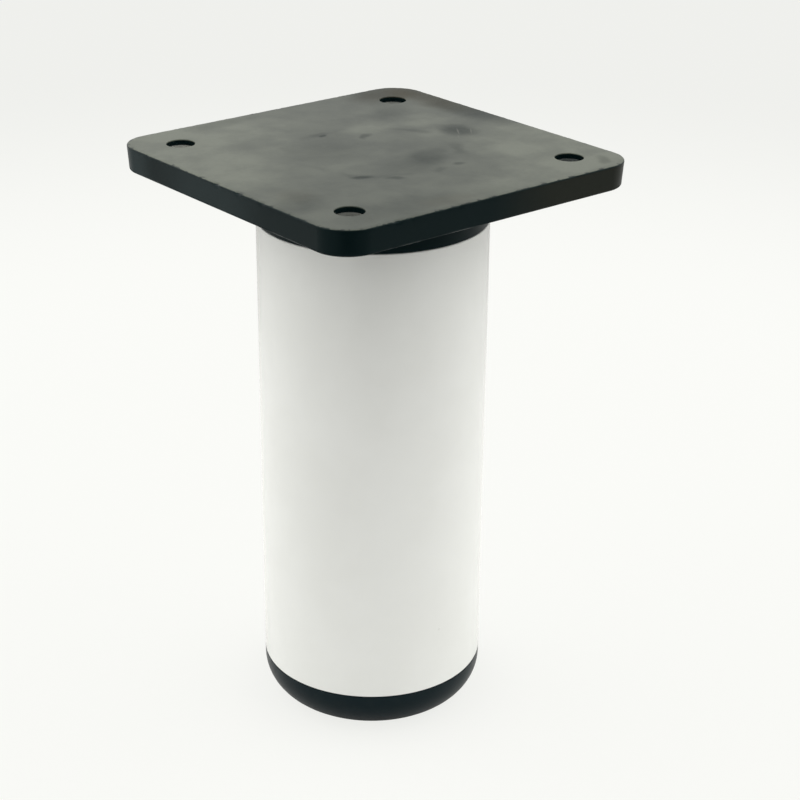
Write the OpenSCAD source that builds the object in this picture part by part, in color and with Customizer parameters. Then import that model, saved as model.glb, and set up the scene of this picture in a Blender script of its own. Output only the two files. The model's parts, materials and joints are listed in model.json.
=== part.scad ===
// Short round furniture leg: a square screw-on plate with a collar and a
// hollow spigot, a plain tube, and a plug-in foot. Millimetres, +Z up.
// The origin is the centre of the foot's underside.

/* [Leg] */
// Height of the whole leg, from the floor to the top of the plate
leg_h = 131.5; // [80:0.5:250]

/* [Mounting plate] */
// Side of the square plate
plate_w = 80; // [76:1:140]
// Thickness of the plate
plate_t = 5.6; // [4.6:0.1:8]
// Radius of the plate's corners, seen from above
plate_corner_r = 7.5; // [3:0.5:10]
// Radius round the plate's lower edge
plate_lower_r = 0.5; // [0.3:0.1:1.5]
// Radius round the plate's upper edge
plate_upper_r = 0.3; // [0.1:0.1:0.6]
// Lean of the plate's sides, in towards the underside, in degrees
plate_draft = 3; // [0:0.5:5]

/* [Screw holes] */
// Distance between hole centres, along either side of the plate
screw_spacing = 59; // [56:0.5:62]
// Diameter of the clearance hole for a screw
screw_hole_d = 6.2; // [5:0.1:8]
// Diameter of the sunk hole for the screw's head, in the underside
screw_head_d = 11; // [9:0.1:14.4]
// Straight wall left at the top of each hole, above the countersink
screw_land = 1.2; // [0.8:0.1:1.4]

/* [Collar and spigot] */
// Height of the round collar between the plate and the tube
collar_h = 9; // [3:0.1:20]
// Length of the hollow spigot inside the tube
spigot_h = 18; // [10:1:25]
// Wall of the hollow spigot
spigot_wall = 2.6; // [1.6:0.1:4]
// Thickness of the plate where the spigot is cored out below it
core_roof_t = 3; // [2:0.1:4]

/* [Tube] */
// Outer diameter of the tube, the collar and the foot
tube_d = 50.8; // [40:0.2:68]
// Wall of the tube
tube_wall = 2; // [1.2:0.1:3]

/* [Foot] */
// Height of the foot below the tube
foot_h = 10.5; // [9.6:0.1:20]
// Radius of the round that takes the foot's side in to its base
foot_edge_r = 9; // [1:0.1:10]
// Length of the hollow plug inside the tube
plug_h = 12; // [8:1:20]
// Wall of the hollow plug
plug_wall = 2.6; // [1.6:0.1:4]
// Thickness of the foot's floor
foot_floor_t = 3; // [2:0.1:4]
// Width of the flat ring that the foot stands on
foot_ring_w = 4; // [2:0.1:8]
// Depth of the shallow recess inside that ring
foot_recess = 0.8; // [0.3:0.1:1.2]

/* [Fits] */
// Gap between the crests of the grip ribs and the tube's bore, all round
fit_gap = 0.05; // [0:0.01:0.2]
// How far each grip rib stands out from the spigot or the plug
rib_height = 0.5; // [0.2:0.1:0.8]
// Radius of each half-round grip rib
rib_r = 0.9; // [0.6:0.1:1.5]
// Number of grip ribs round the spigot, and round the plug
rib_count = 8; // [4:1:16]
// Small chamfer on the tube's ends and on the edges that meet them
seam_chamfer = 0.3; // [0.1:0.1:0.5]
// Chamfer that leads the spigot and the plug into the tube
lead_in = 1.2; // [0.5:0.1:1.5]

/* [Hidden] */
$fn = 96;
eps = 0.01;
hair = 0.002;

tube_r = tube_d / 2;
bore_r = tube_r - tube_wall;
crest_r = bore_r - fit_gap;
core_r = crest_r - rib_height;

plate_bottom_z = leg_h - plate_t;
tube_top_z = plate_bottom_z - collar_h;
tube_bottom_z = foot_h;
tube_len = tube_top_z - tube_bottom_z;

corner_at = plate_w / 2 - plate_corner_r;
screw_at = screw_spacing / 2;
screw_sink_h = (screw_head_d - screw_hole_d) / 2;
foot_base_r = tube_r - foot_edge_r;

plate_black = [0.13, 0.14, 0.14];
foot_black = [0.10, 0.12, 0.13];
tube_white = [0.93, 0.93, 0.92];

// A strip of the plate's section, from x = 0 outwards. Its outer side leans between
// the two rounded edges, a hair inside the line that touches both, and they reach to
// x = len.
module plate_section(len) {
    facing = [cos(plate_draft), -sin(plate_draft)];
    upper = [len - plate_upper_r, plate_t - plate_upper_r];
    lean = (upper.y - plate_lower_r) * tan(plate_draft);
    lower = [upper.x + (plate_upper_r - plate_lower_r) / cos(plate_draft) - lean, plate_lower_r];
    intersection() {
        translate([0, -1])
            square([len + 1, plate_t + 2]);
        union() {
            polygon([
                [0, 0],
                [lower.x, 0],
                lower + (plate_lower_r - hair) * facing,
                upper + (plate_upper_r - hair) * facing,
                [upper.x, plate_t],
                [0, plate_t]
            ]);
            translate(lower)
                circle(plate_lower_r);
            translate(upper)
                circle(plate_upper_r);
        }
    }
}

// One straight side of the plate, along Y, with its section turned to +X.
module plate_side() {
    translate([corner_at, corner_at, 0])
        rotate([90, 0, 0])
            linear_extrude(2 * corner_at)
                plate_section(plate_corner_r);
}

module plate_slab() {
    translate([-corner_at, -corner_at, 0])
        cube([2 * corner_at, 2 * corner_at, plate_t]);
    for (turn = [0:90:270])
        rotate([0, 0, turn]) {
            plate_side();
            translate([corner_at, corner_at, 0])
                rotate_extrude()
                    plate_section(plate_corner_r);
        }
}

// A straight hole, a countersink and a flat-sided sinking for the head.
module screw_hole() {
    sink_top_z = plate_t - screw_land;
    translate([0, 0, -1])
        cylinder(d = screw_hole_d, h = plate_t + 2);
    translate([0, 0, sink_top_z - screw_sink_h])
        cylinder(d1 = screw_head_d, d2 = screw_hole_d, h = screw_sink_h);
    translate([0, 0, -1])
        cylinder(d = screw_head_d, h = sink_top_z - screw_sink_h + 1);
}

// The wall that enters the tube, from z = 0 up to z = len, open at both ends.
// Its free end is the upper one and has the lead-in.
module ribbed_wall(len, wall) {
    rotate_extrude()
        polygon([
            [core_r - wall, 0],
            [core_r, 0],
            [core_r, len - lead_in],
            [core_r - lead_in / 2, len],
            [core_r - wall, len]
        ]);
    for (i = [0:rib_count - 1])
        rotate([0, 0, (i + 0.5) * 360 / rib_count])
            translate([crest_r - rib_r, 0, 0])
                cylinder(r = rib_r, h = len - 2 * lead_in);
}

module mounting_plate() {
    color(plate_black)
        difference() {
            union() {
                translate([0, 0, plate_bottom_z])
                    plate_slab();
                translate([0, 0, tube_top_z])
                    rotate_extrude()
                        polygon([
                            [0, 0],
                            [tube_r - seam_chamfer, 0],
                            [tube_r, seam_chamfer],
                            [tube_r, collar_h + 1],
                            [0, collar_h + 1]
                        ]);
                translate([0, 0, tube_top_z + eps])
                    mirror([0, 0, 1])
                        ribbed_wall(spigot_h + eps, spigot_wall);
            }
            translate([0, 0, tube_top_z - 1])
                cylinder(r = core_r - spigot_wall, h = leg_h - core_roof_t - tube_top_z + 1);
            for (sx = [-1, 1], sy = [-1, 1])
                translate([sx * screw_at, sy * screw_at, plate_bottom_z])
                    screw_hole();
        }
}

module tube() {
    color(tube_white)
        translate([0, 0, tube_bottom_z])
            rotate_extrude()
                polygon([
                    [bore_r, 0],
                    [tube_r - seam_chamfer, 0],
                    [tube_r, seam_chamfer],
                    [tube_r, tube_len - seam_chamfer],
                    [tube_r - seam_chamfer, tube_len],
                    [bore_r, tube_len]
                ]);
}

// Half section of the foot below the tube, before it is cored out.
module foot_section() {
    square([foot_base_r, foot_h]);
    translate([0, foot_edge_r])
        square([tube_r, foot_h - foot_edge_r - seam_chamfer]);
    translate([0, foot_edge_r])
        square([tube_r - seam_chamfer, foot_h - foot_edge_r]);
    polygon([
        [0, foot_h - seam_chamfer],
        [tube_r, foot_h - seam_chamfer],
        [tube_r - seam_chamfer, foot_h],
        [0, foot_h]
    ]);
    intersection() {
        translate([foot_base_r, foot_edge_r])
            circle(foot_edge_r);
        square([tube_r, foot_h]);
    }
}

module foot() {
    color(foot_black)
        difference() {
            union() {
                rotate_extrude()
                    foot_section();
                translate([0, 0, foot_h - eps])
                    ribbed_wall(plug_h + eps, plug_wall);
            }
            translate([0, 0, foot_recess + foot_floor_t])
                cylinder(r = core_r - plug_wall, h = foot_h + plug_h);
            translate([0, 0, -1])
                cylinder(r = foot_base_r - foot_ring_w, h = foot_recess + 1);
        }
}

mounting_plate();
tube();
foot();
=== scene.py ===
import json
import math

import bmesh
import bpy
from mathutils import Matrix, Vector


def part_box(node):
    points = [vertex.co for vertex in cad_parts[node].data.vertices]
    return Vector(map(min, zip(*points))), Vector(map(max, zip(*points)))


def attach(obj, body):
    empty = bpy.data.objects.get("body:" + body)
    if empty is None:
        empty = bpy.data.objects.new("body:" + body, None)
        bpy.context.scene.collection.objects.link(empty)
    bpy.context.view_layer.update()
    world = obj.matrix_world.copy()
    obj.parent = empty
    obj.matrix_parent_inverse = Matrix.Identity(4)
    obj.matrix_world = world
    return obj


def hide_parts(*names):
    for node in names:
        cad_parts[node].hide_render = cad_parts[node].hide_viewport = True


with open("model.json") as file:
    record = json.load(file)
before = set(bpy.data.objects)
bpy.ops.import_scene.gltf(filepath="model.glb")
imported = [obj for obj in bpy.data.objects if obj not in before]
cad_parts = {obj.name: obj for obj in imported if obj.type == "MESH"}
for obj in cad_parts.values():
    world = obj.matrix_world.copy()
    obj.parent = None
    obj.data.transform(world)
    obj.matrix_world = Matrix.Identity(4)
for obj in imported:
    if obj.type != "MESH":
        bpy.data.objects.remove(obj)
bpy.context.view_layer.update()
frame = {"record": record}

MM = 0.001

# Places nearer to each other than this are the same
SAME = 0.01 * MM

# Edges that turn by less than this many degrees are shaded smooth
SMOOTH_BELOW = 38

# Points round a circle: on the leg's outside, inside it, round a screw hole and round a grip rib
OUTER_POINTS = 192
INNER_POINTS = 96
HOLE_POINTS = 64
RIB_POINTS = 24


# ---------------------------------------------------------------- sizes

plate_low, plate_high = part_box("mounting_plate")
tube_low, tube_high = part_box("tube")
foot_low, foot_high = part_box("foot")
mounts = {mount["name"]: mount for mount in frame["record"]["mounts"]}
screw_dims = mounts["screw_holes"]["dims"]

# Heights, from the floor up
foot_base_z = foot_low.z
foot_top_z = tube_low.z
plug_end_z = foot_high.z
spigot_end_z = plate_low.z
tube_top_z = tube_high.z
plate_top_z = plate_high.z
plate_thick = 5.6 * MM
plate_bottom_z = plate_top_z - plate_thick

# The plate, its edges and its screw holes. The upper edge is moved about at random by up to
# edge_wobble, so the plate is modelled that much smaller than the space it has.
edge_wobble = 0.05 * MM
edge_band = 1.2 * MM
edge_step = 0.5 * MM
plate_side = plate_high.x - plate_low.x - 2 * edge_wobble
plate_corner_r = 7.5 * MM
plate_upper_r = 0.3 * MM
plate_lower_r = 0.5 * MM
plate_draft = math.radians(3)
screw_at = screw_dims["spacing_x_mm"] / 2 * MM
hole_r = screw_dims["hole_r_mm"] * MM
hole_rim_r = 0.15 * MM
hole_land = 1.2 * MM
head_r = 5.5 * MM

# Nicks in the plate's upper edge: the side, the place along it and the size, in millimetres
plate_nicks = [
    ("left", 26.2, 0.6),
    ("left", 1, 0.8),
    ("left", -6.5, 0.9),
    ("left", -15, 0.7),
    ("right", -34, 0.6),
    ("right", -28.4, 0.5),
    ("right", -25.9, 0.9),
    ("right", -22.4, 0.6),
    ("right", -14, 0.5),
    ("right", -10.2, 0.7),
]

# The tube, and the spigot and plug that grip its bore
tube_r = tube_high.x
tube_wall = 2 * MM
bore_r = tube_r - tube_wall
seam_chamfer = 0.3 * MM
rib_r = 0.9 * MM
rib_height = 0.5 * MM
rib_gap = 0.05 * MM
rib_count = 8
crest_r = bore_r - rib_gap
core_r = crest_r - rib_height
core_wall = 2.6 * MM
core_roof = 3 * MM
core_edge_r = 1 * MM
lead_in = 1.2 * MM
collar_fillet = 0.5 * MM

# The foot's underside
foot_round_r = 9 * MM
foot_ring_w = 4 * MM
foot_recess = 0.8 * MM
foot_recess_r = 0.4 * MM
foot_floor = 3 * MM

# How far a body reaches past the face that it is joined through, or that it cuts open
overshoot = 1 * MM


# ---------------------------------------------------------------- modelling by hand

def begin_edit():
    bpy.ops.object.mode_set(mode="EDIT")


def end_edit():
    bpy.ops.object.mode_set(mode="OBJECT")


def only(piece):
    bpy.ops.object.select_all(action="DESELECT")
    piece.select_set(True)
    bpy.context.view_layer.objects.active = piece


def pick(kind, wanted):
    """Selects the edges or faces of the piece in edit mode that are wanted, and nothing else."""
    bpy.ops.mesh.select_mode(type=kind)
    bpy.ops.mesh.select_all(action="DESELECT")
    data = bpy.context.object.data
    mesh = bmesh.from_edit_mesh(data)
    for part in (mesh.faces if kind == "FACE" else mesh.edges):
        if wanted(part):
            part.select_set(True)
    mesh.select_flush_mode()
    bmesh.update_edit_mesh(data)


def at_height(part, z):
    return all(abs(v.co.z - z) < SAME for v in part.verts)


def at_radius(part, r):
    return all(abs(v.co.xy.length - r) < SAME for v in part.verts)


def pick_ring(r, z):
    pick("EDGE", lambda edge: at_height(edge, z) and at_radius(edge, r))


def bevel(radius, segments):
    bpy.ops.mesh.bevel(offset=radius, segments=segments, affect="EDGES", clamp_overlap=False)


def quarter_round(r, z, radius):
    """The (radius, height) points of a round that runs from a flat face at z down into a wall at r."""
    steps = 4
    points = []
    for step in range(steps + 1):
        turn = math.pi / 2 * step / steps
        points.append((r + radius * (1 - math.sin(turn)), z - radius * (1 - math.cos(turn))))
    return points


def turned(name, rings, vertices=OUTER_POINTS):
    """A round body made from a filled circle, extruded and scaled from one (radius, height) to the next."""
    bpy.ops.object.select_all(action="DESELECT")
    r, z = rings[0]
    bpy.ops.mesh.primitive_circle_add(vertices=vertices, radius=r, fill_type="NGON", location=(0, 0, z))
    piece = bpy.context.object
    piece.name = name
    bpy.ops.object.transform_apply(location=True, rotation=False, scale=False)
    begin_edit()
    bpy.ops.mesh.select_all(action="SELECT")
    for next_r, next_z in rings[1:]:
        bpy.ops.mesh.extrude_region_move(TRANSFORM_OT_translate={"value": (0, 0, next_z - z)})
        grow = next_r / r
        bpy.ops.transform.resize(value=(grow, grow, 1), center_override=(0, 0, next_z))
        r, z = next_r, next_z
    bpy.ops.mesh.select_all(action="SELECT")
    bpy.ops.mesh.normals_make_consistent(inside=False)
    end_edit()
    return piece


def combine(piece, other, operation):
    """Joins the other body to the piece, or cuts it away, and deletes it."""
    only(piece)
    boolean = piece.modifiers.new("combine", "BOOLEAN")
    boolean.operation = operation
    boolean.solver = "EXACT"
    boolean.object = other
    bpy.ops.object.modifier_apply(modifier=boolean.name)
    bpy.data.objects.remove(other)


def finish_surface(piece):
    """Cleans the mesh and shades it smooth, apart from its sharp edges."""
    only(piece)
    begin_edit()
    bpy.ops.mesh.select_all(action="SELECT")
    bpy.ops.mesh.remove_doubles(threshold=SAME / 10)
    bpy.ops.mesh.normals_make_consistent(inside=False)
    end_edit()
    bpy.ops.object.shade_smooth_by_angle(angle=math.radians(SMOOTH_BELOW))
    weighted = piece.modifiers.new("weighted", "WEIGHTED_NORMAL")
    weighted.keep_sharp = True
    bpy.ops.object.modifier_apply(modifier=weighted.name)


def grip_ribs(root_z, end_z):
    """Half-round ribs round a spigot or plug, as one body, sunk into its wall."""
    bpy.ops.object.select_all(action="DESELECT")
    length = abs(end_z - root_z) - 2 * lead_in
    half = math.copysign(length / 2, end_z - root_z)
    middle = root_z + half
    bpy.ops.mesh.primitive_cylinder_add(
        vertices=RIB_POINTS, radius=rib_r, depth=length, location=(crest_r - rib_r, 0, middle)
    )
    bpy.ops.object.transform_apply(location=True, rotation=False, scale=False)
    first = bpy.context.object
    begin_edit()
    pick("EDGE", lambda edge: at_height(edge, middle + half))
    bevel(rib_height / 2, 2)
    bpy.ops.mesh.select_all(action="SELECT")
    half_pitch = math.pi / rib_count
    bpy.ops.transform.rotate(value=half_pitch, orient_axis="Z", center_override=(0, 0, 0))
    for _ in range(rib_count - 1):
        bpy.ops.mesh.duplicate()
        bpy.ops.transform.rotate(value=2 * half_pitch, orient_axis="Z", center_override=(0, 0, 0))
    end_edit()
    return first


def core_cutter(mouth_z, roof_z):
    """The hollow of a spigot or plug, with a rounded roof, as a body that is cut away."""
    beyond = math.copysign(overshoot, mouth_z - roof_z)
    r = core_r - core_wall
    cutter = turned("core", [(r, mouth_z + beyond), (r, roof_z)], INNER_POINTS)
    begin_edit()
    pick_ring(r, roof_z)
    bevel(core_edge_r, 4)
    end_edit()
    return cutter


# ---------------------------------------------------------------- the mounting plate

def plate_slab():
    bpy.ops.object.select_all(action="DESELECT")
    middle = (plate_top_z + plate_bottom_z) / 2
    bpy.ops.mesh.primitive_cube_add(
        size=1, location=(0, 0, middle), scale=(plate_side, plate_side, plate_thick)
    )
    slab = bpy.context.object
    slab.name = "plate_moulding"
    bpy.ops.object.transform_apply(location=True, rotation=False, scale=True)
    begin_edit()
    pick("EDGE", lambda edge: abs(edge.verts[0].co.z - edge.verts[1].co.z) > plate_thick / 2)
    bevel(plate_corner_r, 16)
    pick("FACE", lambda face: at_height(face, plate_bottom_z))
    narrowed = 1 - 2 * plate_thick * math.tan(plate_draft) / plate_side
    bpy.ops.transform.resize(value=(narrowed, narrowed, 1), center_override=(0, 0, plate_bottom_z))
    ragged_upper_edge()
    pick("EDGE", lambda edge: at_height(edge, plate_bottom_z))
    bevel(plate_lower_r, 6)
    end_edit()
    return slab


def ragged_upper_edge():
    """Rounds the upper edge in a narrow band of short faces, and moves its points a little at random."""
    band_z = plate_top_z - edge_band
    bpy.ops.mesh.select_all(action="SELECT")
    bpy.ops.mesh.bisect(plane_co=(0, 0, band_z), plane_no=(0, 0, 1))
    pick("FACE", lambda face: at_height(face, plate_top_z))
    bpy.ops.mesh.inset(thickness=edge_band)

    def long_in_band(edge):
        return min(v.co.z for v in edge.verts) > band_z - SAME and edge.calc_length() > 2 * edge_band

    pick("EDGE", long_in_band)
    bpy.ops.mesh.subdivide(number_cuts=int((plate_side - 2 * plate_corner_r) / edge_step))
    corner_at = plate_side / 2 - plate_corner_r

    def on_rim(co):
        out = Vector((max(abs(co.x) - corner_at, 0), max(abs(co.y) - corner_at, 0)))
        return abs(out.length - plate_corner_r) < SAME

    pick("EDGE", lambda edge: at_height(edge, plate_top_z) and all(on_rim(v.co) for v in edge.verts))
    bevel(plate_upper_r, 3)
    bpy.ops.transform.vertex_random(offset=edge_wobble, seed=7)
    bpy.ops.transform.translate(value=(0, 0, -edge_wobble))
    for side, along, size in plate_nicks:
        dent_rim(side, along, size)


def dent_rim(side, along, size):
    """Presses a small nick into the upper edge, at a place along the -X or the -Y side, in two steps."""
    rim = plate_side / 2
    edge_reach = 0.8 * MM
    x, y = (-rim, along * MM) if side == "left" else (along * MM, -rim)
    spot = Vector((x, y, plate_top_z))
    out = Vector((x, 0, 0)) if side == "left" else Vector((0, y, 0))
    out.normalize()

    def near(v, reach):
        on_edge = v.co.dot(out) > rim - edge_reach and v.co.z > plate_top_z - edge_reach
        return on_edge and (v.co - spot).length < reach

    for reach in (size, size / 2):
        pick("EDGE", lambda edge: all(near(v, reach * MM) for v in edge.verts))
        depth = size / 8 * MM
        bpy.ops.transform.translate(value=(-out.x * depth, -out.y * depth, -depth))


def collar_and_spigot():
    """The round collar under the plate, filleted into it, and the ribbed spigot below."""
    rings = [
        (tube_r + collar_fillet, plate_bottom_z + overshoot),
        *quarter_round(tube_r, plate_bottom_z, collar_fillet),
        (tube_r, tube_top_z),
        (core_r, tube_top_z),
        (core_r, spigot_end_z + lead_in),
        (core_r - lead_in / 2, spigot_end_z),
    ]
    body = turned("collar", rings)
    begin_edit()
    pick_ring(tube_r, tube_top_z)
    bevel(seam_chamfer, 2)
    end_edit()
    combine(body, grip_ribs(tube_top_z, spigot_end_z), "UNION")
    return body


def screw_hole_cutter():
    """A screw hole with a softly rounded rim, a countersink and a flat-sided sinking, as a body."""
    sink_z = plate_top_z - hole_land
    rings = [
        (hole_r + hole_rim_r, plate_top_z + overshoot),
        *quarter_round(hole_r, plate_top_z, hole_rim_r),
        (hole_r, sink_z),
        (head_r, sink_z - (head_r - hole_r)),
        (head_r, plate_bottom_z - overshoot),
    ]
    return turned("screw_hole", rings, HOLE_POINTS)


def mounting_plate():
    plate = plate_slab()
    combine(plate, collar_and_spigot(), "UNION")
    combine(plate, core_cutter(spigot_end_z, plate_top_z - core_roof), "DIFFERENCE")
    for side_x in (-1, 1):
        for side_y in (-1, 1):
            cutter = screw_hole_cutter()
            cutter.data.transform(Matrix.Translation((side_x * screw_at, side_y * screw_at, 0)))
            combine(plate, cutter, "DIFFERENCE")
    finish_surface(plate)
    return plate


# ---------------------------------------------------------------- the tube

def tube():
    bpy.ops.object.select_all(action="DESELECT")
    bpy.ops.mesh.primitive_circle_add(vertices=OUTER_POINTS, radius=tube_r, location=(0, 0, foot_top_z))
    piece = bpy.context.object
    piece.name = "white_tube"
    bpy.ops.object.transform_apply(location=True, rotation=False, scale=False)
    begin_edit()
    bpy.ops.mesh.select_all(action="SELECT")
    bpy.ops.mesh.extrude_region_move(TRANSFORM_OT_translate={"value": (0, 0, tube_top_z - foot_top_z)})
    bpy.ops.mesh.select_all(action="SELECT")
    bpy.ops.mesh.normals_make_consistent(inside=False)
    end_edit()
    wall = piece.modifiers.new("wall", "SOLIDIFY")
    wall.thickness = tube_wall
    wall.offset = -1
    bpy.ops.object.modifier_apply(modifier=wall.name)
    begin_edit()
    for z in (foot_top_z, tube_top_z):
        pick_ring(tube_r, z)
        bevel(seam_chamfer, 2)
    end_edit()
    finish_surface(piece)
    return piece


# ---------------------------------------------------------------- the foot

def foot():
    recess_r = tube_r - foot_round_r - foot_ring_w
    recess_z = foot_base_z + foot_recess
    rings = [
        (tube_r, foot_base_z),
        (tube_r, foot_top_z),
        (core_r, foot_top_z),
        (core_r, plug_end_z - lead_in),
        (core_r - lead_in / 2, plug_end_z),
    ]
    body = turned("moulded_foot", rings)
    begin_edit()
    pick_ring(tube_r, foot_top_z)
    bevel(seam_chamfer, 2)
    pick_ring(tube_r, foot_base_z)
    bevel(foot_round_r, 16)
    end_edit()
    combine(body, grip_ribs(foot_top_z, plug_end_z), "UNION")
    combine(body, core_cutter(plug_end_z, recess_z + foot_floor), "DIFFERENCE")
    recess_rings = [(recess_r, foot_base_z - overshoot), (recess_r, recess_z)]
    recess = turned("recess", recess_rings, INNER_POINTS)
    begin_edit()
    pick_ring(recess_r, recess_z)
    bevel(foot_recess_r, 3)
    end_edit()
    combine(body, recess, "DIFFERENCE")
    finish_surface(body)
    return body


# ---------------------------------------------------------------- material helpers

def add(tree, kind, inputs=None, **settings):
    """Adds a node with its settings, and sets or links its inputs."""
    made = tree.nodes.new(kind)
    for name, value in settings.items():
        setattr(made, name, value)
    for name, value in (inputs or {}).items():
        if isinstance(value, bpy.types.NodeSocket):
            tree.links.new(value, made.inputs[name])
        else:
            made.inputs[name].default_value = value
    return made


def new_material(name):
    made = bpy.data.materials.new(name)
    made.use_nodes = True
    return made, made.node_tree, made.node_tree.nodes["Principled BSDF"]


def millimetres(tree):
    """The place on the piece, in millimetres."""
    return scaled(tree, add(tree, "ShaderNodeTexCoord").outputs["Object"], 1 / MM)


def height_of(tree, place):
    return add(tree, "ShaderNodeSeparateXYZ", {"Vector": place}).outputs["Z"]


def scaled(tree, vector, factor):
    made = add(tree, "ShaderNodeVectorMath", {"Vector": vector, "Scale": factor}, operation="SCALE")
    return made.outputs["Vector"]


def vector_calc(tree, operation, a, b=(0, 0, 0)):
    return add(tree, "ShaderNodeVectorMath", {0: a, 1: b}, operation=operation).outputs["Vector"]


def vector_measure(tree, operation, a, b=(0, 0, 0)):
    """A length, a distance or a dot product."""
    return add(tree, "ShaderNodeVectorMath", {0: a, 1: b}, operation=operation).outputs["Value"]


def calc(tree, operation, a, b=0):
    return add(tree, "ShaderNodeMath", {0: a, 1: b}, operation=operation).outputs["Value"]


def times(tree, a, b):
    return calc(tree, "MULTIPLY", a, b)


def noise(tree, place, size, detail=2, roughness=0.5):
    """Soft noise from about 0.2 to 0.8, with features of about the given size in millimetres."""
    made = add(
        tree, "ShaderNodeTexNoise",
        {"Vector": place, "Scale": 1 / size, "Detail": detail, "Roughness": roughness},
    )
    return made.outputs["Fac"]


def between(tree, value, low, high, at_low=0, at_high=1):
    """Goes smoothly from at_low to at_high while the value goes from low to high."""
    made = add(
        tree, "ShaderNodeMapRange",
        {"Value": value, "From Min": low, "From Max": high, "To Min": at_low, "To Max": at_high},
        interpolation_type="SMOOTHSTEP",
    )
    return made.outputs["Result"]


def wandering(tree, place, size, reach):
    """The same place moved about by noise, so that the outlines drawn on it are irregular."""
    drift = add(tree, "ShaderNodeTexNoise", {"Vector": place, "Scale": 1 / size, "Detail": 3})
    centred = vector_calc(tree, "SUBTRACT", drift.outputs["Color"], (0.5, 0.5, 0.5))
    return vector_calc(tree, "ADD", place, scaled(tree, centred, reach))


# A height in millimetres that is far beyond the leg, so that it makes no difference
ANY_HEIGHT = 100000


def oval(tree, place, x, y, width, length, turn=0):
    """1 in the middle of an oval, seen from above, fading to 0 at its outline, at any height."""
    local = add(
        tree, "ShaderNodeMapping",
        {
            "Vector": place,
            "Location": (x, y, 0),
            "Rotation": (0, 0, math.radians(turn)),
            "Scale": (width / 2, length / 2, ANY_HEIGHT),
        },
        vector_type="TEXTURE",
    )
    away = vector_measure(tree, "LENGTH", local.outputs["Vector"])
    return between(tree, away, 0.25, 1, 1, 0)


def ovals(tree, place, marks):
    """Several ovals as one field: each is (strength, x, y, width, length, turn)."""
    total = None
    for strength, x, y, width, length, turn in marks:
        mark = times(tree, oval(tree, place, x, y, width, length, turn), strength)
        total = mark if total is None else calc(tree, "ADD", total, mark)
    return total


def blend_colour(tree, factor, first, second):
    made = add(tree, "ShaderNodeMix", data_type="RGBA")
    for socket, value in ((made.inputs[0], factor), (made.inputs[6], first), (made.inputs[7], second)):
        if isinstance(value, bpy.types.NodeSocket):
            tree.links.new(value, socket)
        else:
            socket.default_value = value
    return made.outputs[2]


def bump(tree, height, depth, before=None):
    """Bump of the given depth in millimetres, from a height that goes from 0 to 1."""
    inputs = {"Height": height, "Distance": depth * MM, "Strength": 1}
    if before:
        inputs["Normal"] = before
    return add(tree, "ShaderNodeBump", inputs).outputs["Normal"]


# ---------------------------------------------------------------- the black plate's plastic

PLATE_BLACK = (0.001, 0.0055, 0.006, 1)
# The top's dull film, partly a real film and partly a painted sheen: laid over the whole top, it lightens
# it where the shine would
FILM_AND_SHEEN_GREY = (0.147, 0.158, 0.125, 1)
FILM_AND_SHEEN_EVERYWHERE = 0.53
# Rust brown: a real stain on the top, and partly a painted sheen on the -Y side
RUST_BROWN_AND_SHEEN = (0.06, 0.045, 0.022, 1)
DUST = (0.2, 0.2, 0.175, 1)
# Painted sheen: the bluish grey that stands in for the reflection on the plate's -X side
COOL_SHEEN_GREY = (0.15, 0.2, 0.21, 1)
# Painted light: the grey that stands in for light caught low inside the screw holes
HOLE_LIT_GREY = (0.3, 0.3, 0.27, 1)

# The blue-green tint of the shine, on the plate and on the foot
COOL_SHINE = (0.65, 0.95, 1, 1)

# The plate's shine, where 0.5 is full, the roughness of its satin, and the depth of its fine
# grain and long waves, in millimetres
PLATE_SHINE = 0.12
PLATE_SATIN = (0.28, 0.33)
PLATE_GRAIN = 0.008
PLATE_WAVES = 0.015

# Marks on the plate. Each is (strength, x, y, width, length, turn), in millimetres and degrees.
# The first two lists say where the dull film on the top, partly real film and partly painted sheen, is
# paler or thinner than elsewhere.
PALER_FILM = [
    (0.42, -36, 16, 44, 74, -12),
    (0.3, -22, 34, 54, 34, 0),
    (0.4, 34, -22, 46, 62, 0),
    (0.3, 16, -38, 60, 26, 0),
    (0.22, 10, 14, 18, 13, 0),
    (0.22, 25, 10, 18, 15, -10),
    (0.12, -14, -8, 20, 16, 0),
    (0.2, -14, 16, 15, 15, 0),
    (0.08, -30, -14, 16, 14, 0),
    (0.11, -9, 27, 28, 20, 0),
    (0.11, -37, -16, 14, 16, 0),
    (0.14, 18, 3, 10, 9, 0),
    (0.1, 12, -28, 16, 10, 0),
]
THINNER_FILM = [
    (0.19, 6, -11, 12, 20, -55),
    (0.1, 0, -13, 22, 14, 20),
    (0.32, 24.5, 0.5, 12, 13, -10),
    (0.3, 38, 14, 16, 44, 0),
    (0.25, 34, 36, 34, 26, 0),
    (0.12, 22, 22, 18, 12, 30),
    (0.08, -9, 5, 22, 22, 0),
    (0.26, -14, -13.5, 5.5, 3.6, -40),
    (0.22, -9, -18.5, 6, 3, -35),
    (0.22, 8, -18.5, 5, 3, 0),
    (0.24, 5.5, 9.5, 7, 3, 35),
    (0.3, -2, 15.5, 3.5, 1.8, 30),
    (0.16, -35, -20, 18, 16, 0),
    (0.14, -14, 37, 26, 7, 0),
    (0.28, 34, -35, 9, 4.5, 30),
    (0.1, -20, -34, 40, 16, 0),
    (0.12, 2, -38, 16, 10, 0),
]

# A brown tint in the film; painted sheen on the sides, bluish on the -X side and brown on the -Y side,
# where it is partly stain; and painted light, a grey low inside the four holes
BROWN_TINTS = [
    (0.7, 37, 26, 16, 40, 0),
    (0.6, 30, 34, 24, 16, 0),
    (0.3, -10, -36, 18, 10, 0),
    (0.25, -32, -16, 12, 14, 0),
]
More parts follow.
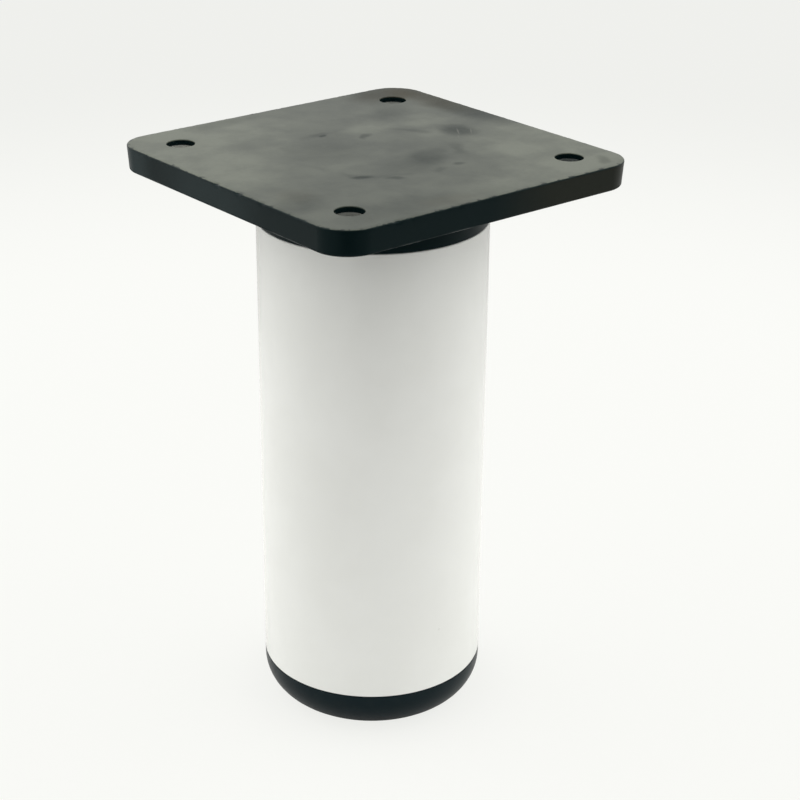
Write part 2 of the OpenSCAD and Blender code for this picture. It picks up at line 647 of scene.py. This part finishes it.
# Painted sheen on the -X side, in place of its reflection, and brown on the -Y side, partly stain and
# partly painted sheen
SIDE_PAINTED_SHEEN = [
    (0.1, -40, 34, 24, 20, 0),
    (0.07, -40, 4, 24, 44, 0),
]
SIDE_BROWN_AND_SHEEN = [
    (0.22, 26, -40, 60, 24, 0),
]
# Painted light low inside the four holes, stronger where a hole catches more light
HOLE_PAINTED_LIGHT = [
    (1.2, -screw_at / MM, screw_at / MM, 20, 20, 0),
    (0.55, -screw_at / MM, -screw_at / MM, 20, 20, 0),
    (0.7, screw_at / MM, screw_at / MM, 20, 20, 0),
    (0.1, screw_at / MM, -screw_at / MM, 20, 20, 0),
]

# Pale scratches on the top
SCRATCHES = [
    (0.8, 24, 0, 0.5, 7, -35),
    (0.7, 26.5, -1.5, 0.5, 6, -38),
    (0.5, 21.5, -3, 0.4, 4, -35),
    (0.3, -12, 4, 0.4, 9, 62),
    (0.25, 12, 24, 0.4, 11, 48),
]

# The sink mark over the spigot's wall: its centre, its radius and how strongly it thins the film
SINK_MARK_AT = (0, -1, 0)
SINK_MARK_R = 18
SINK_MARK_STRENGTH = 0.16


def sink_mark(tree, place):
    """A faint broken ring over the spigot's wall."""
    flat = vector_calc(tree, "MULTIPLY", place, (1, 1, 0))
    away = vector_measure(tree, "LENGTH", vector_calc(tree, "SUBTRACT", flat, SINK_MARK_AT))
    off_ring = calc(tree, "ABSOLUTE", calc(tree, "SUBTRACT", away, SINK_MARK_R))
    ring = between(tree, off_ring, 0.2, 2, 1, 0)
    gaps = between(tree, noise(tree, place, 12, 2), 0.42, 0.6)
    return times(tree, times(tree, ring, gaps), SINK_MARK_STRENGTH)


def rim_wear(tree, place):
    """0 at the rim of the plate's top, where the film is worn off in an uneven line, and 1 inside it."""
    corner_mm = plate_corner_r / MM
    corner_at = plate_side / 2 / MM - corner_mm
    folded = vector_calc(tree, "ABSOLUTE", place)
    past = vector_calc(tree, "SUBTRACT", folded, (corner_at, corner_at, ANY_HEIGHT))
    away = vector_measure(tree, "LENGTH", vector_calc(tree, "MAXIMUM", past))
    inwards = calc(tree, "SUBTRACT", corner_mm, away)
    reach = between(tree, noise(tree, place, 2, 3, 0.6), 0.48, 0.7, 0.2, 1.6)
    return between(tree, inwards, 0.1, reach, 0.15, 1)


def film_and_sheen_on_top(tree, place, thinner, paler, fine):
    """How thickly the dull film lies, partly real film and partly painted sheen, with soft clouds and fine
    grains in it, and worn off at the rim.
    """
    balance = add(tree, "ShaderNodeMath", {0: paler, 1: thinner}, operation="SUBTRACT", use_clamp=True)
    film = times(tree, balance.outputs["Value"], rim_wear(tree, place))
    clouds = between(tree, noise(tree, place, 9, 5, 0.6), 0.3, 0.7, 0.8, 1.2)
    grains = between(tree, fine, 0.3, 0.7, 0.92, 1.08)
    return times(tree, times(tree, film, clouds), grains)


# Painted sheen on the plate's sides: bluish on the -X side, and brown on the -Y side, partly stain and
# partly painted sheen
def sides_sheen_and_stain(tree, ragged, height, colour):
    top_mm = plate_top_z / MM
    on_side = between(tree, height, top_mm - 0.5, top_mm - 0.2, 1, 0)
    # Here the dust is the painted sheen on the -X side
    dust = times(tree, ovals(tree, ragged, SIDE_PAINTED_SHEEN), on_side)
    brown = times(tree, ovals(tree, ragged, SIDE_BROWN_AND_SHEEN), on_side)
    with_sheen = blend_colour(tree, dust, colour, COOL_SHEEN_GREY)
    return blend_colour(tree, brown, with_sheen, RUST_BROWN_AND_SHEEN)


def holes_painted_light(tree, place, height, colour):
    """Painted light inside the holes: a grey that stands in for light caught low in them, between their
    straight wall and the plate's underside.
    """
    land_mm = (plate_top_z - hole_land) / MM
    bottom_mm = plate_bottom_z / MM
    below_land = between(tree, height, land_mm - 0.3, land_mm, 1, 0)
    above_bottom = between(tree, height, bottom_mm + 0.05, bottom_mm + 0.2)
    in_holes = times(tree, below_land, above_bottom)
    return blend_colour(tree, times(tree, ovals(tree, place, HOLE_PAINTED_LIGHT), in_holes), colour, HOLE_LIT_GREY)


def worn_lower_edge(tree, place, height):
    """Extra roughness in places along the plate's lower edge."""
    edge_mm = plate_bottom_z / MM + 0.25
    off_edge = calc(tree, "ABSOLUTE", calc(tree, "SUBTRACT", height, edge_mm))
    patches = between(tree, noise(tree, place, 7, 2), 0.4, 0.6, 0.1, 0.4)
    return times(tree, patches, between(tree, off_edge, 0.2, 0.5, 1, 0))


def plate_plastic():
    made, tree, shader = new_material("plate_black")
    place = millimetres(tree)
    ragged = wandering(tree, place, 8, 5)
    height = height_of(tree, place)
    top_mm = plate_top_z / MM
    on_top = between(tree, height, top_mm - 0.25, top_mm - 0.1)
    fine = noise(tree, place, 0.9, 4, 0.65)
    thinner = calc(tree, "ADD", ovals(tree, ragged, THINNER_FILM), sink_mark(tree, ragged))
    paler = calc(tree, "ADD", ovals(tree, ragged, PALER_FILM), FILM_AND_SHEEN_EVERYWHERE)
    brown = times(tree, ovals(tree, ragged, BROWN_TINTS), on_top)
    scratches = times(tree, ovals(tree, place, SCRATCHES), on_top)

    # The film here is partly real film and partly painted sheen on the top
    film = times(tree, film_and_sheen_on_top(tree, place, thinner, paler, fine), on_top)
    colour = blend_colour(tree, film, PLATE_BLACK, FILM_AND_SHEEN_GREY)
    colour = blend_colour(tree, times(tree, brown, 0.5), colour, RUST_BROWN_AND_SHEEN)
    colour = blend_colour(tree, times(tree, scratches, 0.5), colour, DUST)
    colour = sides_sheen_and_stain(tree, ragged, height, colour)
    colour = holes_painted_light(tree, place, height, colour)
    tree.links.new(colour, shader.inputs["Base Color"])

    # Satin gloss, duller where the film is stained and in places along the lower edge
    dull = times(tree, calc(tree, "ADD", thinner, times(tree, brown, 0.3)), on_top)
    satin = between(tree, fine, 0.3, 0.7, *PLATE_SATIN)
    roughness = calc(tree, "ADD", times(tree, dull, 0.3), satin)
    roughness = calc(tree, "ADD", roughness, worn_lower_edge(tree, place, height))
    tree.links.new(roughness, shader.inputs["Roughness"])
    shader.inputs["Specular IOR Level"].default_value = PLATE_SHINE
    shader.inputs["Specular Tint"].default_value = COOL_SHINE

    grain = bump(tree, noise(tree, place, 0.35, 3, 0.6), PLATE_GRAIN)
    waves = bump(tree, noise(tree, place, 4, 2), PLATE_WAVES, grain)
    tree.links.new(waves, shader.inputs["Normal"])
    return made


# ---------------------------------------------------------------- the tube's white finish

TUBE_WHITE = (0.87, 0.878, 0.852, 1)
TUBE_CLOUD = (0.845, 0.852, 0.823, 1)
SPECK = (0.35, 0.33, 0.3, 1)
TUBE_GLOSS = (0.07, 0.11)

# The depth of the finish's fine peel and long waves, in millimetres
TUBE_PEEL = 0.006
TUBE_WAVES = 0.06

# A tiny pip in the finish, low on the -Y side: its place and its height, in millimetres
PIP_AT = (-0.8, -tube_r / MM, 25.5)
PIP_HEIGHT = 0.06


def glossy_white():
    made, tree, shader = new_material("tube_white")
    place = millimetres(tree)
    clouds = between(tree, noise(tree, place, 16, 3), 0.3, 0.7)
    colour = blend_colour(tree, clouds, TUBE_WHITE, TUBE_CLOUD)
    from_pip = vector_measure(tree, "DISTANCE", place, PIP_AT)
    colour = blend_colour(tree, between(tree, from_pip, 0.1, 0.3, 0.1, 0), colour, SPECK)
    tree.links.new(colour, shader.inputs["Base Color"])
    roughness = between(tree, noise(tree, place, 9, 3), 0.3, 0.7, *TUBE_GLOSS)
    tree.links.new(roughness, shader.inputs["Roughness"])
    peel = bump(tree, noise(tree, place, 1.6, 2), TUBE_PEEL)
    waves = bump(tree, noise(tree, place, 11, 1), TUBE_WAVES, peel)
    pip = bump(tree, between(tree, from_pip, 0.1, 0.5, 1, 0), PIP_HEIGHT, waves)
    tree.links.new(pip, shader.inputs["Normal"])
    return made


# ---------------------------------------------------------------- the foot's plastic

FOOT_BLACK = (0.002, 0.0055, 0.008, 1)
FOOT_DUST = (0.05, 0.046, 0.04, 1)
FOOT_SHINE = 0.17
FOOT_SATIN = 0.3
FOOT_GRAIN = 0.01


def foot_plastic():
    """Satin black, with a little dust rubbed into it near the floor."""
    made, tree, shader = new_material("foot_black")
    place = millimetres(tree)
    scuffed = between(tree, noise(tree, place, 5, 5, 0.65), 0.5, 0.75)
    near_floor = between(tree, height_of(tree, place), 0, 5, 1, 0.25)
    dust = times(tree, scuffed, near_floor)
    colour = blend_colour(tree, times(tree, dust, 0.3), FOOT_BLACK, FOOT_DUST)
    tree.links.new(colour, shader.inputs["Base Color"])
    roughness = calc(tree, "ADD", times(tree, dust, 0.15), FOOT_SATIN)
    tree.links.new(roughness, shader.inputs["Roughness"])
    shader.inputs["Specular IOR Level"].default_value = FOOT_SHINE
    shader.inputs["Specular Tint"].default_value = COOL_SHINE
    grain = bump(tree, noise(tree, place, 0.35, 3, 0.6), FOOT_GRAIN)
    tree.links.new(grain, shader.inputs["Normal"])
    return made


# ---------------------------------------------------------------- the three pieces

def dress(piece, node, material):
    piece.data.materials.clear()
    piece.data.materials.append(material)
    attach(piece, "root")
    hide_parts(node)


dress(mounting_plate(), "mounting_plate", plate_plastic())
dress(tube(), "tube", glossy_white())
dress(foot(), "foot", foot_plastic())


# ---------------------------------------------------------------- floor, camera and light

# The camera stands out from the corner between the -X and -Y sides, and looks down on the leg.
# The lens is in millimetres, for a sensor 36 mm wide.
CAMERA_AZIMUTH = math.radians(-38.775)
CAMERA_DISTANCE = 388.8 * MM
CAMERA_HEIGHT = 245.56 * MM
CAMERA_PITCH = math.radians(23.909)
CAMERA_PAN = math.radians(0.913)
CAMERA_ROLL = math.radians(0.514)
CAMERA_LENS = 84.638
CAMERA_SENSOR = 36

# Directions on the floor: from the leg towards the camera, to the camera's right, and
# towards the end of the paper
FRONT = (math.sin(CAMERA_AZIMUTH), -math.cos(CAMERA_AZIMUTH), 0)
SIDEWAYS = (math.cos(CAMERA_AZIMUTH), math.sin(CAMERA_AZIMUTH), 0)
PAPER_ENDS_TOWARDS = (-0.2, -0.98, 0)

# The paper that lights the leg and is mirrored in it. Each change runs between two distances
# from the leg, in millimetres.
PAPER = (0.9, 0.9, 0.88, 1)
PAPER_DIM = (0.5, 0.5, 0.488, 1)
PAPER_DIMMING = (120, 350)
PAPER_END = (200, 430)
SHADED_TABLE = (0.03, 0.03, 0.03, 1)
SHADOW_START = (150, 320)
SHADOW_SIDE = (40, 150)
SHADOW_STRENGTH = 0.9
PAPER_ROUGHNESS = 0.7

# The floor as the camera sees it. FLOOR_CATCH is how much of it takes shadows, and the rest glows. The glow
# fades from white near the leg to a darker tone further off, a painted pool of light.
FLOOR_SIZE = 8
FLOOR_WHITE = (0.985, 0.99, 0.96, 1)
FLOOR_FAR = (0.887, 0.892, 0.866, 1)
FLOOR_FADE = (260, 600)
FLOOR_GLOW = 0.955
FLOOR_CATCH = 0.15

# The light all round, its tint, and how bright the camera sees it behind the floor
ROOM_LIGHT = 0.575
ROOM_TINT = (1, 1, 0.985, 1)
ROOM_SEEN = 0.87

# Panels of light: strength, degrees round from the camera to its right, and degrees up
LIGHT_PANELS = [
    (0.82, 92, 8),
    (0.6, 92, 42),
    (0.3, 138, 25),
    (0.62, -92, 8),
    (0.6, -92, 42),
    (0.5, -138, 25),
]


def seen_directly(tree):
    """1 for what the camera sees directly, and 0 for light that falls or is mirrored on the object."""
    return add(tree, "ShaderNodeLightPath").outputs["Is Camera Ray"]


def paper_and_table(tree, place, from_leg):
    """White paper under and behind the leg. In front it lies in shadow, ends, and a dark table begins."""
    colour = blend_colour(tree, between(tree, from_leg, *PAPER_DIMMING), PAPER, PAPER_DIM)
    ahead = between(tree, vector_measure(tree, "DOT_PRODUCT", place, FRONT), *SHADOW_START)
    beside = calc(tree, "ABSOLUTE", vector_measure(tree, "DOT_PRODUCT", place, SIDEWAYS))
    shadow = times(tree, ahead, between(tree, beside, *SHADOW_SIDE, SHADOW_STRENGTH, 0))
    colour = blend_colour(tree, shadow, colour, SHADED_TABLE)
    along_paper = vector_measure(tree, "DOT_PRODUCT", place, PAPER_ENDS_TOWARDS)
    return blend_colour(tree, between(tree, along_paper, *PAPER_END), colour, SHADED_TABLE)


def floor_material():
    """The camera sees a glowing white floor with a soft shadow, and the leg sees paper and a table."""
    made, tree, shader = new_material("white_floor")
    place = millimetres(tree)
    from_leg = vector_measure(tree, "LENGTH", place)
    tree.links.new(paper_and_table(tree, place, from_leg), shader.inputs["Base Color"])
    shader.inputs["Roughness"].default_value = PAPER_ROUGHNESS

    pale = blend_colour(tree, between(tree, from_leg, *FLOOR_FADE), FLOOR_WHITE, FLOOR_FAR)
    glow = add(tree, "ShaderNodeEmission", {"Color": pale, "Strength": FLOOR_GLOW})
    shadow_catcher = add(tree, "ShaderNodeBsdfDiffuse", {"Color": pale})
    shown = add(tree, "ShaderNodeMixShader", {"Fac": FLOOR_CATCH})
    tree.links.new(glow.outputs[0], shown.inputs[1])
    tree.links.new(shadow_catcher.outputs[0], shown.inputs[2])
    both = add(tree, "ShaderNodeMixShader", {"Fac": seen_directly(tree)})
    tree.links.new(shader.outputs[0], both.inputs[1])
    tree.links.new(shown.outputs[0], both.inputs[2])
    tree.links.new(both.outputs[0], tree.nodes["Material Output"].inputs["Surface"])
    return made


def soft_studio():
    """Even white light all round, and soft panels of light to the left and to the right."""
    world = bpy.data.worlds.new("soft_studio")
    world.use_nodes = True
    tree = world.node_tree
    direction = add(tree, "ShaderNodeTexCoord").outputs["Generated"]
    light = ROOM_LIGHT
    for strength, aside, up in LIGHT_PANELS:
        turn = Matrix.Rotation(CAMERA_AZIMUTH + math.radians(aside), 3, "Z")
        towards = turn @ Vector((0, -math.cos(math.radians(up)), math.sin(math.radians(up))))
        facing = vector_measure(tree, "DOT_PRODUCT", direction, towards)
        light = calc(tree, "ADD", between(tree, facing, 0.6, 1, 0, strength), light)
    shown = add(tree, "ShaderNodeMix", {0: seen_directly(tree), 2: light, 3: ROOM_SEEN}, data_type="FLOAT")
    background = tree.nodes["Background"]
    background.inputs["Color"].default_value = ROOM_TINT
    tree.links.new(shown.outputs[0], background.inputs["Strength"])
    return world


def place_camera():
    camera = bpy.data.objects.new("camera", bpy.data.cameras.new("camera"))
    bpy.context.scene.collection.objects.link(camera)
    camera.data.sensor_width = CAMERA_SENSOR
    camera.data.lens = CAMERA_LENS
    camera.data.clip_start = 10 * MM
    stand = Vector((FRONT[0] * CAMERA_DISTANCE, FRONT[1] * CAMERA_DISTANCE, CAMERA_HEIGHT))
    camera.matrix_world = (
        Matrix.Translation(stand)
        @ Matrix.Rotation(CAMERA_AZIMUTH - CAMERA_PAN, 4, "Z")
        @ Matrix.Rotation(math.pi / 2 - CAMERA_PITCH, 4, "X")
        @ Matrix.Rotation(CAMERA_ROLL, 4, "Z")
    )
    bpy.context.scene.camera = camera


bpy.ops.object.select_all(action="DESELECT")
bpy.ops.mesh.primitive_plane_add(size=FLOOR_SIZE)
floor = bpy.context.object
floor.name = "floor"
floor.data.materials.append(floor_material())

place_camera()
bpy.context.scene.world = soft_studio()
bpy.context.scene.view_settings.view_transform = "Standard"
